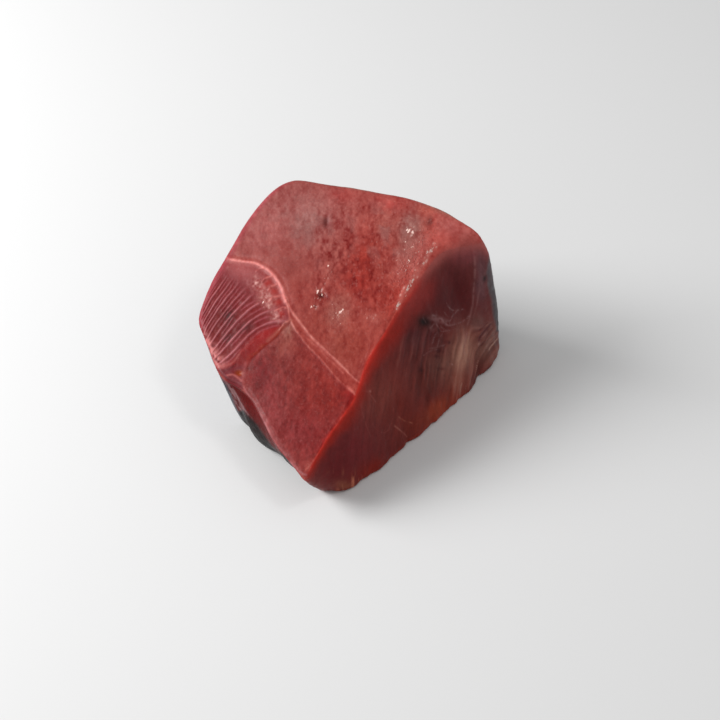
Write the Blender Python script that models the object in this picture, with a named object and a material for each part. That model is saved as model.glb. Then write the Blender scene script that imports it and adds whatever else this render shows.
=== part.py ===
"""A thick wedge of raw tuna loin: one solid piece of flesh with a sloping cut
face on top, a steep cut side at the front right, a skin side that swells round
the left, the back and the right, and a flat underside.  Metres, +Z up."""
import math
import bpy
import numpy as np

for old in list(bpy.data.objects):
    bpy.data.objects.remove(old, do_unlink=True)

MM = 0.001

# ---- the sloping cut face on top: a plane that rises to the right and the back
FACE_HEIGHT = 71.3          # height of that plane above the datum point
FACE_RISE_X = 0.263         # rise for each unit to the right
FACE_RISE_Y = 0.381         # rise for each unit to the back
FACE_CROWN = 2.0            # how far the face swells in its middle
SAG_DEPTH = 19.0            # how far the right back corner of the face hangs down
SAG_REACH = 70.0            # and the distance over which it does

# ---- the datum point, so that the origin lies under the middle of the piece
DATUM_X = -5.2
DATUM_Y = 20.0
HEART = (-30 - DATUM_X, 90 - DATUM_Y)   # the roundings of the rim run towards this point

# ---- resolution
CELLS = 28                  # cells along each of the four sides of the cut face
WALL_ROWS = 12
EDGE_ROWS = 4
FOOT_ROWS = 3
SOLE_ROWS = 4


class Corner:
    """A corner of the cut face and the foot below it.  cut is the distance from
    the corner at which its rounding starts, bow the swell of the edge that
    leaves the corner, edge the size of the rounding from face to wall, foot the
    size of the rounding from wall to underside, swell the belly of the wall."""

    def __init__(self, x, y, cut, bow, foot_x, foot_y, foot_cut, foot_bow,
                 edge, foot, swell):
        self.top = (x - DATUM_X, y - DATUM_Y)
        self.cut, self.bow = cut, bow
        self.base = (foot_x - DATUM_X, foot_y - DATUM_Y)
        self.foot_cut, self.foot_bow = foot_cut, foot_bow
        self.edge, self.foot, self.swell = edge, foot, swell


TIP = Corner(-34.7, -86.7, 5, -1.6, -23.2, -72, 9, 3.0, 3.0, 3.0, 1.0)
KNEE = Corner(-7.5, -44, 5.5, -2.4, 6.8, -59.2, 14, 0.4, 2.6, 3.0, 2.0)
SHOULDER = Corner(48.2, 59.7, 6, 0.2, 81.9, 27.7, 12, 3.7, 8.0, 3.0, 3.0)
RIGHT = Corner(85.6, 67.2, 10.4, 1.2, 99.5, 76, 16, 8.0, 8.0, 5.0, 4.0)
BACK = Corner(-51.8, 123.5, 16, 2.5, -48, 119, 24, 3.0, 5.0, 6.0, 7.0)
LEFT_BACK = Corner(-91, 72.5, 14, 1.1, -79, 76, 20, 3.0, 4.0, 6.0, 7.0)
LEFT = Corner(-108.9, 34.8, 7, -0.2, -88.8, 33.3, 18, 1.6, 4.0, 5.0, 1.5)
LEFT_FRONT = Corner(-91.1, -9.1, 8.6, -0.9, -78.6, -8.4, 10, -2.0, 3.0, 4.0, 1.0)
FRONT = Corner(-69.7, -25.2, 5.5, 2.5, -65.9, -28.1, 10, -4.0, 2.6, 4.0, 5.0)

CORNERS = [TIP, KNEE, SHOULDER, RIGHT, BACK, LEFT_BACK, LEFT, LEFT_FRONT, FRONT]
# the four sides of the cut face, each as the corners at which its edges start
SIDES = [(0, 1, 2), (3,), (4, 5), (6, 7, 8)]


def smooth(f):
    return f * f * (3 - 2 * f)


def loop_point(points, cuts, bows, i, f):
    """The point at the fraction f of edge i of a polygon with rounded corners
    and bowed edges."""
    n = len(points)
    before, here = np.array(points[i - 1]), np.array(points[i])
    there, after = np.array(points[(i + 1) % n]), np.array(points[(i + 2) % n])
    run = there - here
    length = np.linalg.norm(run)
    along = run / length
    a, b = cuts[i], cuts[(i + 1) % n]
    d = f * length
    if d < a:
        back = (before - here) / np.linalg.norm(before - here)
        t = 0.5 + 0.5 * d / a
        p = (1 - t) ** 2 * (here + back * a) + 2 * t * (1 - t) * here + t * t * (here + along * a)
    elif d > length - b:
        on = (after - there) / np.linalg.norm(after - there)
        t = 0.5 * (d - (length - b)) / b
        p = (1 - t) ** 2 * (there - along * b) + 2 * t * (1 - t) * there + t * t * (there + on * b)
    else:
        p = here + along * d
    outward = np.array([along[1], -along[0]])
    return p + outward * bows[i] * math.sin(math.pi * f) ** 2


def face_height(x, y):
    """The height of the cut face: a sloping plane with one corner that hangs."""
    away = np.hypot(x - RIGHT.top[0], y - RIGHT.top[1]) / SAG_REACH
    sag = SAG_DEPTH * np.clip(1 - away, 0, 1) ** 2
    return FACE_HEIGHT + FACE_RISE_X * (x + DATUM_X) + FACE_RISE_Y * (y + DATUM_Y) - sag


def ring():
    """The rim of the cut face and the outline of the underside, station by
    station, with the sizes of the roundings there."""
    tops = [c.top for c in CORNERS]
    bases = [c.base for c in CORNERS]
    lengths = [math.dist(tops[i], tops[(i + 1) % len(tops)]) for i in range(len(tops))]
    rows = []
    for side in SIDES:
        total = sum(lengths[i] for i in side)
        for k in range(CELLS):
            d = total * k / CELLS
            for i in side:
                if d <= lengths[i] or i == side[-1]:
                    break
                d -= lengths[i]
            f = d / lengths[i]
            here, there = CORNERS[i], CORNERS[(i + 1) % len(CORNERS)]
            w = smooth(f)
            px, py = loop_point(tops, [c.cut for c in CORNERS], [c.bow for c in CORNERS], i, f)
            qx, qy = loop_point(bases, [c.foot_cut for c in CORNERS],
                                [c.foot_bow for c in CORNERS], i, f)
            rows.append((px, py, qx, qy,
                         here.edge + (there.edge - here.edge) * w,
                         here.foot + (there.foot - here.foot) * w,
                         here.swell + (there.swell - here.swell) * w))
    return np.array(rows)


def outward(xy):
    """The outward direction at each station of a closed loop."""
    run = np.roll(xy, -1, axis=0) - np.roll(xy, 1, axis=0)
    side = np.stack([run[:, 1], -run[:, 0]], axis=1)
    return side / np.linalg.norm(side, axis=1)[:, None]


def patch(loop):
    """A grid that fills a loop of four equal sides, as the rows of the grid."""
    n = CELLS
    first, right = loop[0:n + 1], loop[n:2 * n + 1]
    far = loop[2 * n:3 * n + 1][::-1]
    left = np.concatenate([loop[3 * n:], loop[:1]])[::-1]
    grid = np.zeros((n + 1, n + 1, loop.shape[1]))
    for i in range(n + 1):
        s = i / n
        for j in range(n + 1):
            t = j / n
            grid[i, j] = ((1 - t) * first[i] + t * far[i] + (1 - s) * left[j] + s * right[j]
                          - (1 - s) * (1 - t) * loop[0] - s * (1 - t) * loop[n]
                          - s * t * loop[2 * n] - (1 - s) * t * loop[3 * n])
    return grid


def loin_mesh():
    n = CELLS
    data = ring()
    rim, base = data[:, 0:2], data[:, 2:4]
    edge, foot, swell = data[:, 4], data[:, 5], data[:, 6]
    rim_out, base_out = outward(rim), outward(base)
    count = len(rim)

    top = np.column_stack([rim, face_height(rim[:, 0], rim[:, 1])])
    low = np.column_stack([base, np.zeros(count)])
    reach = np.linalg.norm(low - top, axis=1)
    mean_out = rim_out + base_out
    mean_out /= np.linalg.norm(mean_out, axis=1)[:, None]

    def wall(w):
        belly = (swell * 4 * w * (1 - w))[:, None] * mean_out
        p = top + (low - top) * w[:, None]
        p[:, 0:2] += belly
        return p

    def bend(a, b, c, t):
        return (1 - t) ** 2 * a + 2 * t * (1 - t) * b + t * t * c

    inward = np.array(HEART) - rim
    inward /= np.linalg.norm(inward, axis=1)[:, None]
    square = np.clip(-(inward * rim_out).sum(axis=1), 0.6, 1.0)
    inset = rim + inward * (edge / square)[:, None]
    face_edge = np.column_stack([inset, face_height(inset[:, 0], inset[:, 1])])
    w_high, w_low = edge / reach, 1 - foot / reach
    sole = base - base_out * foot[:, None]
    sole_edge = np.column_stack([sole, np.zeros(count)])

    rings = [face_edge]
    for k in range(1, EDGE_ROWS + 1):
        rings.append(bend(face_edge, top, wall(w_high), k / EDGE_ROWS))
    for k in range(1, WALL_ROWS + 1):
        rings.append(wall(w_high + (w_low - w_high) * k / WALL_ROWS))
    for k in range(1, FOOT_ROWS + 1):
        rings.append(bend(wall(w_low), low, sole_edge, k / FOOT_ROWS))

    vertices = [p for r in rings for p in r]
    faces = []
    for r in range(len(rings) - 1):
        for k in range(count):
            a, b = r * count + k, r * count + (k + 1) % count
            faces.append((a, a + count, b + count, b))

    def border(i, j):
        """The station of the ring that a grid point on the border sits on."""
        if j == 0:
            return i
        if i == n:
            return n + j
        if j == n:
            return 3 * n - i
        return (4 * n - j) % (4 * n)

    def fill(ring_index, lift):
        loop = rings[ring_index]
        grid = patch(np.concatenate([loop, loop[:1]])[:4 * n])
        ids = {}
        for i in range(n + 1):
            for j in range(n + 1):
                if i in (0, n) or j in (0, n):
                    ids[i, j] = ring_index * count + border(i, j)
                else:
                    s, t = i / n, j / n
                    p = grid[i, j].copy()
                    p[2] = face_height(p[0], p[1]) + lift * 16 * s * (1 - s) * t * (1 - t)
                    ids[i, j] = len(vertices)
                    vertices.append(p)
        for i in range(n):
            for j in range(n):
                faces.append((ids[i, j], ids[i + 1, j], ids[i + 1, j + 1], ids[i, j + 1]))

    def close(ring_index, rows):
        """Close a flat loop with rings that shrink to its middle."""
        loop = np.array(rings[ring_index])
        middle = loop.mean(axis=0)
        before = [ring_index * count + k for k in range(count)]
        for r in range(1, rows):
            ids = [len(vertices) + k for k in range(count)]
            vertices.extend(loop + (middle - loop) * r / rows)
            for k in range(count):
                after = (k + 1) % count
                faces.append((before[k], ids[k], ids[after], before[after]))
            before = ids
        vertices.append(middle)
        for k in range(count):
            faces.append((before[k], len(vertices) - 1, before[(k + 1) % count]))

    fill(0, FACE_CROWN)
    close(len(rings) - 1, SOLE_ROWS)
    return np.array(vertices) * MM, faces


def principled(name, color, roughness):
    material = bpy.data.materials.new(name)
    material.use_nodes = True
    shader = material.node_tree.nodes["Principled BSDF"]
    shader.inputs["Base Color"].default_value = (*color, 1.0)
    shader.inputs["Roughness"].default_value = roughness
    return material


def main():
    vertices, faces = loin_mesh()
    mesh = bpy.data.meshes.new("loin")
    mesh.from_pydata([tuple(v) for v in vertices], [], faces)
    mesh.validate()
    mesh.materials.append(principled("raw_flesh", (0.33, 0.06, 0.06), 0.42))
    loin = bpy.data.objects.new("loin", mesh)
    bpy.context.scene.collection.objects.link(loin)


main()
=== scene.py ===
import math
import bpy
import numpy as np
from mathutils import Matrix, Vector


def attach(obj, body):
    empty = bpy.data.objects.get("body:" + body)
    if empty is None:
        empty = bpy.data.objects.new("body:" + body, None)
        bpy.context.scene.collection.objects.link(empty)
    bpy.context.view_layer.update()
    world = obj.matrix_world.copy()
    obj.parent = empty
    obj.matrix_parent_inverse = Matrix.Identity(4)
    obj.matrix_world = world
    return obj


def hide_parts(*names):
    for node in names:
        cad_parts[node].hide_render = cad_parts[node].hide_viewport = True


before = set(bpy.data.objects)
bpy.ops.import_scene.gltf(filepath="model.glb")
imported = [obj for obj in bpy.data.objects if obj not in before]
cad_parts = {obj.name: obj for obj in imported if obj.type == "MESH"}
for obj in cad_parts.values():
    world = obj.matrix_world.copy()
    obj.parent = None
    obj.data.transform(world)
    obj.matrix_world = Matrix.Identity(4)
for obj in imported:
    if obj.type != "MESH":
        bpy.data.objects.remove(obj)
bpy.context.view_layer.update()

MM = 0.001

# ------------------------------------------------------------------ the camera
# A picture 720 by 720 pixels through an 85 mm lens, 45 degrees above the table.
LENS, SENSOR = 85.0, 36.0
PIXELS = LENS / SENSOR * 720
SCALE = 0.65                                  # mm for each pixel at the aim
AIM = np.array([5.2, -20.0, 50.0])            # mm
TILT = math.radians(45.0)
BACK = np.array([0.0, -math.cos(TILT), math.sin(TILT)])
UP = np.array([0.0, math.sin(TILT), math.cos(TILT)])
EYE = AIM + BACK * PIXELS * SCALE


def picture(p):
    """Where points in mm fall in the picture, in pixels from its top left."""
    v = p - EYE
    depth = -(v @ BACK)
    return np.stack([360 + PIXELS * v[:, 0] / depth, 360 - PIXELS * (v @ UP) / depth], axis=1)


def make_camera():
    data = bpy.data.cameras.new("camera")
    data.lens, data.sensor_width = LENS, SENSOR
    data.clip_start, data.clip_end = 0.05, 20
    cam = bpy.data.objects.new("camera", data)
    turn = Matrix((Vector((1, 0, 0)), Vector(UP), Vector(BACK))).transposed().to_4x4()
    cam.matrix_world = Matrix.Translation(Vector(EYE * MM)) @ turn
    bpy.context.scene.collection.objects.link(cam)
    bpy.context.scene.camera = cam


make_camera()

# ------------------------------------------------- the form, as in the CAD model
FACE_HEIGHT, FACE_RISE_X, FACE_RISE_Y = 71.3, 0.263, 0.381
FACE_CROWN = 2.0
SAG_DEPTH, SAG_REACH = 19.0, 70.0
DATUM_X, DATUM_Y = -5.2, 20.0
HEART = (-30 - DATUM_X, 90 - DATUM_Y)   # the roundings of the rim run towards this point

CELLS = 300
EDGE_ROWS, WALL_ROWS, FOOT_ROWS = 20, 100, 6
M = 4 * CELLS


class Corner:
    def __init__(self, x, y, cut, bow, foot_x, foot_y, foot_cut, foot_bow,
                 edge, foot, swell):
        self.top = (x - DATUM_X, y - DATUM_Y)
        self.cut, self.bow = cut, bow
        self.base = (foot_x - DATUM_X, foot_y - DATUM_Y)
        self.foot_cut, self.foot_bow = foot_cut, foot_bow
        self.edge, self.foot, self.swell = edge, foot, swell


TIP = Corner(-34.7, -86.7, 5, -1.6, -23.2, -72, 9, 3.0, 3.0, 3.0, 1.0)
KNEE = Corner(-7.5, -44, 5.5, -2.4, 6.8, -59.2, 14, 0.4, 2.6, 3.0, 2.0)
SHOULDER = Corner(48.2, 59.7, 6, 0.2, 81.9, 27.7, 12, 3.7, 8.0, 3.0, 3.0)
RIGHT = Corner(85.6, 67.2, 10.4, 1.2, 99.5, 76, 16, 8.0, 8.0, 5.0, 4.0)
BACK_ = Corner(-51.8, 123.5, 16, 2.5, -48, 119, 24, 3.0, 5.0, 6.0, 7.0)
LEFT_BACK = Corner(-91, 72.5, 14, 1.1, -79, 76, 20, 3.0, 4.0, 6.0, 7.0)
LEFT = Corner(-108.9, 34.8, 7, -0.2, -88.8, 33.3, 18, 1.6, 4.0, 5.0, 1.5)
LEFT_FRONT = Corner(-91.1, -9.1, 8.6, -0.9, -78.6, -8.4, 10, -2.0, 3.0, 4.0, 1.0)
FRONT = Corner(-69.7, -25.2, 5.5, 2.5, -65.9, -28.1, 10, -4.0, 2.6, 4.0, 5.0)
CORNERS = [TIP, KNEE, SHOULDER, RIGHT, BACK_, LEFT_BACK, LEFT, LEFT_FRONT, FRONT]
SIDES = [(0, 1, 2), (3,), (4, 5), (6, 7, 8)]


def smooth(f):
    return f * f * (3 - 2 * f)


def step(x, a, b):
    """0 at a, 1 at b, and smooth between them."""
    return smooth(np.clip((x - a) / (b - a), 0, 1))


# ------------------------------------------------------------------------ noise
def lattice(ix, iy, iz, seed):
    h = (ix * 374761393 + iy * 668265263 + iz * 1442695041 + seed * 974634777) & 0xFFFFFFFF
    h = ((h ^ (h >> 13)) * 1274126177) & 0xFFFFFFFF
    h = ((h ^ (h >> 15)) * 2246822519) & 0xFFFFFFFF
    return ((h ^ (h >> 16)) & 0xFFFFFF) / float(0x7FFFFF) - 1.0


def noise(p, size, seed=0):
    """Smooth noise from -1 to 1 with blobs about size across."""
    q = np.asarray(p, float) / size
    if q.shape[1] == 2:
        q = np.column_stack([q, np.zeros(len(q))])
    base = np.floor(q)
    f = q - base
    i = base.astype(np.int64)
    w = f * f * f * (f * (f * 6 - 15) + 10)
    total = np.zeros(len(q))
    for dx in (0, 1):
        wx = w[:, 0] if dx else 1 - w[:, 0]
        for dy in (0, 1):
            wy = w[:, 1] if dy else 1 - w[:, 1]
            for dz in (0, 1):
                wz = w[:, 2] if dz else 1 - w[:, 2]
                total += wx * wy * wz * lattice(i[:, 0] + dx, i[:, 1] + dy, i[:, 2] + dz, seed)
    return total


def cloud(p, size, octaves=3, seed=0, gain=0.5):
    total, weight, norm = 0.0, 1.0, 0.0
    for k in range(octaves):
        total = total + weight * noise(p, size / 2 ** k, seed + 17 * k)
        norm += weight
        weight *= gain
    return total / norm * 1.5


# ----------------------------------------------------------------- curve helpers
def curve(points, per=10):
    """A smooth line through points, as many small steps."""
    p = np.array(points, float)
    p = np.concatenate([[2 * p[0] - p[1]], p, [2 * p[-1] - p[-2]]])
    out = []
    for k in range(1, len(p) - 2):
        for t in np.arange(per) / per:
            a, b, c, d = p[k - 1], p[k], p[k + 1], p[k + 2]
            out.append(0.5 * (2 * b + (c - a) * t + (2 * a - 5 * b + 4 * c - d) * t * t
                              + (3 * b - a - 3 * c + d) * t ** 3))
    out.append(p[-2])
    return np.array(out)


def near(p, line):
    """The distance from each point to a line, and how far along it is (0 to 1)."""
    best = np.full(len(p), 1e9)
    along = np.zeros(len(p))
    n = len(line) - 1
    for k in range(n):
        a, b = line[k], line[k + 1]
        ab = b - a
        t = np.clip(((p - a) @ ab) / max(ab @ ab, 1e-9), 0, 1)
        d = np.hypot(*(p - a - t[:, None] * ab).T)
        less = d < best
        best[less] = d[less]
        along[less] = (k + t[less]) / n
    return best, along


def inside(p, ring_points):
    """The signed distance into a closed outline, positive inside."""
    ring_points = np.array(ring_points, float)
    closed = np.concatenate([ring_points, ring_points[:1]])
    d, _ = near(p, closed)
    odd = np.zeros(len(p), bool)
    for (x0, y0), (x1, y1) in zip(closed[:-1], closed[1:]):
        if y0 == y1:
            continue
        cross = ((y0 > p[:, 1]) != (y1 > p[:, 1])) & (
            p[:, 0] < (x1 - x0) * (p[:, 1] - y0) / (y1 - y0) + x0)
        odd ^= cross
    return np.where(odd, d, -d)


def blob(p, x, y, rx, ry, turn=0.0):
    """1 in the middle of a soft spot, 0 outside it."""
    c, s = math.cos(math.radians(turn)), math.sin(math.radians(turn))
    dx, dy = p[:, 0] - x, p[:, 1] - y
    r = ((dx * c + dy * s) / rx) ** 2 + ((-dx * s + dy * c) / ry) ** 2
    return np.exp(-r)


# ---------------------------------------------------------------- build the form
def loop_point(points, cuts, bows, i, f):
    n = len(points)
    before, here = np.array(points[i - 1]), np.array(points[i])
    there, after = np.array(points[(i + 1) % n]), np.array(points[(i + 2) % n])
    run = there - here
    length = np.linalg.norm(run)
    along = run / length
    a, b = cuts[i], cuts[(i + 1) % n]
    d = f * length
    if d < a:
        back = (before - here) / np.linalg.norm(before - here)
        t = 0.5 + 0.5 * d / a
        p = (1 - t) ** 2 * (here + back * a) + 2 * t * (1 - t) * here + t * t * (here + along * a)
    elif d > length - b:
        on = (after - there) / np.linalg.norm(after - there)
        t = 0.5 * (d - (length - b)) / b
        p = (1 - t) ** 2 * (there - along * b) + 2 * t * (1 - t) * there + t * t * (there + on * b)
    else:
        p = here + along * d
    outward_ = np.array([along[1], -along[0]])
    return p + outward_ * bows[i] * math.sin(math.pi * f) ** 2


def face_height(x, y):
    away = np.hypot(x - RIGHT.top[0], y - RIGHT.top[1]) / SAG_REACH
    sag = SAG_DEPTH * np.clip(1 - away, 0, 1) ** 2
    return FACE_HEIGHT + FACE_RISE_X * (x + DATUM_X) + FACE_RISE_Y * (y + DATUM_Y) - sag


def ring():
    tops = [c.top for c in CORNERS]
    bases = [c.base for c in CORNERS]
    cuts, bows = [c.cut for c in CORNERS], [c.bow for c in CORNERS]
    foot_cuts, foot_bows = [c.foot_cut for c in CORNERS], [c.foot_bow for c in CORNERS]
    lengths = [math.dist(tops[i], tops[(i + 1) % len(tops)]) for i in range(len(tops))]
    rows = []
    for side in SIDES:
        total = sum(lengths[i] for i in side)
        for k in range(CELLS):
            d = total * k / CELLS
            for i in side:
                if d <= lengths[i] or i == side[-1]:
                    break
                d -= lengths[i]
            f = d / lengths[i]
            here, there = CORNERS[i], CORNERS[(i + 1) % len(CORNERS)]
            w = smooth(f)
            px, py = loop_point(tops, cuts, bows, i, f)
            qx, qy = loop_point(bases, foot_cuts, foot_bows, i, f)
            rows.append((px, py, qx, qy,
                         here.edge + (there.edge - here.edge) * w,
                         here.foot + (there.foot - here.foot) * w,
                         here.swell + (there.swell - here.swell) * w, i + f))
    return np.array(rows)


def outward(xy):
    run = np.roll(xy, -1, axis=0) - np.roll(xy, 1, axis=0)
    side = np.stack([run[:, 1], -run[:, 0]], axis=1)
    return side / np.linalg.norm(side, axis=1)[:, None]


def patch(loop):
    n = CELLS
    first, right = loop[0:n + 1], loop[n:2 * n + 1]
    far = loop[2 * n:3 * n + 1][::-1]
    left = np.concatenate([loop[3 * n:], loop[:1]])[::-1]
    s = (np.arange(n + 1) / n)[:, None, None]
    t = (np.arange(n + 1) / n)[None, :, None]
    return ((1 - t) * first[:, None] + t * far[:, None] + (1 - s) * left[None] + s * right[None]
            - (1 - s) * (1 - t) * loop[0] - s * (1 - t) * loop[n]
            - s * t * loop[2 * n] - (1 - s) * t * loop[3 * n])


def bend(a, b, c, t):
    return (1 - t) ** 2 * a + 2 * t * (1 - t) * b + t * t * c


data = ring()
rim, base = data[:, 0:2].copy(), data[:, 2:4].copy()
edge, foot, swell, where = data[:, 4], data[:, 5], data[:, 6], data[:, 7]
rim_out, base_out = outward(rim), outward(base)


def ragged(xy, size, seed):
    return noise(np.column_stack([xy, np.zeros(len(xy))]), size, seed)


# the knife's small wanderings round the rim, and the torn lower edge
torn = step(where, 0.0, 0.4) * (1 - step(where, 2.5, 3.0))
rim += rim_out * ((0.10 + 0.90 * torn) * (0.45 * ragged(rim, 16, 1) + 0.22 * ragged(rim, 5.5, 2)))[:, None]
base += base_out * ((0.4 + 0.5 * torn) * ragged(base, 13, 3) + (0.15 + 0.45 * torn) * ragged(base, 4.5, 4))[:, None]

# nicks in the lower edge: picture position, depth in mm, width in mm
low_picture = picture(np.column_stack([base, np.zeros(M)]))
for x, y, depth, width in ((479, 379, 2.6, 5.0), (406, 442, 1.9, 3.0), (470, 391, -0.8, 3.0),
                           (437, 421, -0.8, 3.5), (394, 461, 0.9, 3.0), (364, 480, 0.8, 3.0),
                           (452, 409, 0.7, 2.5), (299, 475, -1.2, 2.0)):
    k = np.argmin(np.hypot(low_picture[:, 0] - x, low_picture[:, 1] - y))
    d = np.hypot(*(base - base[k]).T)
    base -= base_out * (depth * np.exp(-(d / width) ** 2))[:, None]

top = np.column_stack([rim, face_height(rim[:, 0], rim[:, 1])])
low = np.column_stack([base, np.zeros(M)])
reach = np.linalg.norm(low - top, axis=1)
mean_out = rim_out + base_out
mean_out /= np.linalg.norm(mean_out, axis=1)[:, None]


def wall(w):
    p = top + (low - top) * w[:, None]
    p[:, 0:2] += (swell * 4 * w * (1 - w))[:, None] * mean_out
    return p


inward = np.array(HEART) - rim
inward /= np.linalg.norm(inward, axis=1)[:, None]
square = np.clip(-(inward * rim_out).sum(axis=1), 0.6, 1.0)
inset = rim + inward * (edge / square)[:, None]
face_edge = np.column_stack([inset, face_height(inset[:, 0], inset[:, 1])])
w_high, w_low = edge / reach, 1 - foot / reach
sole = base - base_out * foot[:, None]
sole_edge = np.column_stack([sole, np.zeros(M)])

rings, ring_w, ring_edge = [face_edge], [0 * w_high], [0.0]
for k in range(1, EDGE_ROWS + 1):
    rings.append(bend(face_edge, top, wall(w_high), k / EDGE_ROWS))
    ring_w.append(w_high * max(0.0, 2 * k / EDGE_ROWS - 1))
    ring_edge.append(k / EDGE_ROWS)
for k in range(1, WALL_ROWS + 1):
    w = w_high + (w_low - w_high) * k / WALL_ROWS
    rings.append(wall(w))
    ring_w.append(w)
    ring_edge.append(1.0)
for k in range(1, FOOT_ROWS + 1):
    rings.append(bend(wall(w_low), low, sole_edge, k / FOOT_ROWS))
    ring_w.append(w_low + (1 - w_low) * k / FOOT_ROWS)
    ring_edge.append(1.0)
R = len(rings)

grid = patch(face_edge)
s_ = (np.arange(CELLS + 1) / CELLS)[:, None]
t_ = (np.arange(CELLS + 1) / CELLS)[None, :]
grid[1:-1, 1:-1, 2] = (face_height(grid[..., 0], grid[..., 1])
                       + FACE_CROWN * 16 * s_ * (1 - s_) * t_ * (1 - t_))[1:-1, 1:-1]

# indices: rings first, then the inner points of the face, then the underside
V = [np.concatenate(rings)]
face_id = np.zeros((CELLS + 1, CELLS + 1), int)
face_id[:, 0] = np.arange(CELLS + 1)
face_id[CELLS, :] = CELLS + np.arange(CELLS + 1)
face_id[:, CELLS] = 3 * CELLS - np.arange(CELLS + 1)
face_id[0, :] = (4 * CELLS - np.arange(CELLS + 1)) % M
count = R * M
inner = np.arange((CELLS - 1) ** 2).reshape(CELLS - 1, CELLS - 1)
face_id[1:-1, 1:-1] = count + inner
V.append(grid[1:-1, 1:-1].reshape(-1, 3))
count += (CELLS - 1) ** 2

sole_quads, sole_tris = [], []
outer_ids = (R - 1) * M + np.arange(M)
outer_pos = sole_edge
centre = sole_edge.mean(axis=0)
sole_rows = [(4, 0.12), (1, 0.25), (1, 0.40), (2, 0.55), (1, 0.70), (2, 0.85)]
for fewer, pull in sole_rows:
    m = len(outer_ids) // fewer
    pos = sole_edge[::M // m][:m] * (1 - pull) + centre * pull
    ids = count + np.arange(m)
    V.append(pos)
    count += m
    for k in range(m):
        n1 = (k + 1) % m
        if fewer == 1:
            sole_quads.append((outer_ids[k], ids[k], ids[n1], outer_ids[n1]))
        else:
            for j in range(fewer):
                a, b = outer_ids[k * fewer + j], outer_ids[(k * fewer + j + 1) % len(outer_ids)]
                sole_tris.append((a, ids[k], b))
            sole_tris.append((outer_ids[(k * fewer + fewer) % len(outer_ids)], ids[k], ids[n1]))
    outer_ids = ids
V.append(centre[None])
for k in range(len(outer_ids)):
    sole_tris.append((outer_ids[k], count, outer_ids[(k + 1) % len(outer_ids)]))
count += 1
V = np.concatenate(V)

face_quads = np.stack([face_id[:-1, :-1], face_id[1:, :-1], face_id[1:, 1:], face_id[:-1, 1:]],
                      axis=-1).reshape(-1, 4)
kk = np.arange(M)
side_quads = np.concatenate([np.stack([r * M + kk, (r + 1) * M + kk, (r + 1) * M + (kk + 1) % M,
                                       r * M + (kk + 1) % M], axis=1) for r in range(R - 1)])


def normals(v):
    n = np.zeros_like(v)
    for q in (face_quads, side_quads, np.array(sole_quads)):
        c = np.cross(v[q[:, 2]] - v[q[:, 0]], v[q[:, 3]] - v[q[:, 1]])
        for j in range(4):
            np.add.at(n, q[:, j], c)
    t = np.array(sole_tris)
    c = np.cross(v[t[:, 1]] - v[t[:, 0]], v[t[:, 2]] - v[t[:, 0]])
    for j in range(3):
        np.add.at(n, t[:, j], c)
    return n / np.linalg.norm(n, axis=1)[:, None]


# soften the crease where the face turns down at its right back corner
edge_line = np.array([np.append(c, face_height(*c)) for c in
                      [np.array(SHOULDER.top) * (1 - f) + np.array(RIGHT.top) * f for f in (0.0, 0.35, 0.7, 1.0)]])
soft = np.zeros(len(V))
for a, b in zip(edge_line[:-1], edge_line[1:]):
    ab = b - a
    t = np.clip(((V - a) @ ab) / (ab @ ab), 0, 1)
    soft = np.maximum(soft, 1 - step(np.linalg.norm(V - a - t[:, None] * ab, axis=1), 6.0, 20.0))
all_quads = np.concatenate([face_quads, side_quads])
touched = np.nonzero((soft[all_quads] > 0).any(axis=1))[0]
links = np.concatenate([all_quads[touched][:, [i, (i + 1) % 4]] for i in range(4)])
links = np.concatenate([links, links[:, ::-1]])
local, flat = np.unique(links, return_inverse=True)
flat = flat.reshape(links.shape)
links_each = np.bincount(flat[:, 0], minlength=len(local))
moving = V[local].copy()
pull = (0.5 * soft[local])[:, None]
for _ in range(360):
    mean = np.stack([np.bincount(flat[:, 0], moving[flat[:, 1], c], len(local)) for c in range(3)], axis=1)
    moving += pull * (mean / links_each[:, None] - moving)
V[local] = moving

N0 = normals(V)
P = picture(V)

ring_count = R * M
W = np.zeros(len(V))
W[:ring_count] = np.concatenate(ring_w)
W[ring_count + (CELLS - 1) ** 2:] = 1.0
SIDE = np.zeros(len(V))                      # 0 on the cut face, 1 on the walls
SIDE[:ring_count] = np.repeat(ring_edge, M)
SIDE[ring_count + (CELLS - 1) ** 2:] = 1.0
AROUND = np.zeros(len(V))
AROUND[:ring_count] = np.tile(where, R)
girth = np.concatenate([[0], np.cumsum(np.hypot(*np.diff((rim + base) / 2, axis=0).T))])
GIRTH = np.zeros(len(V))
GIRTH[:ring_count] = np.tile(girth, R)

on_face = np.concatenate([np.arange((EDGE_ROWS + 1) * M),
                          ring_count + np.arange((CELLS - 1) ** 2)])
on_side = np.arange(ring_count)

# -------------------------------------------------------- features of the cut face
Pf, Xf = P[on_face], V[on_face]
wander = np.stack([cloud(Xf, 9, 3, 31), cloud(Xf, 9, 3, 47)], axis=1)
Pw = Pf + 1.5 * wander                       # region borders wander a little
Pq = Pf + 0.30 * wander                      # thin lines wander less

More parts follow.
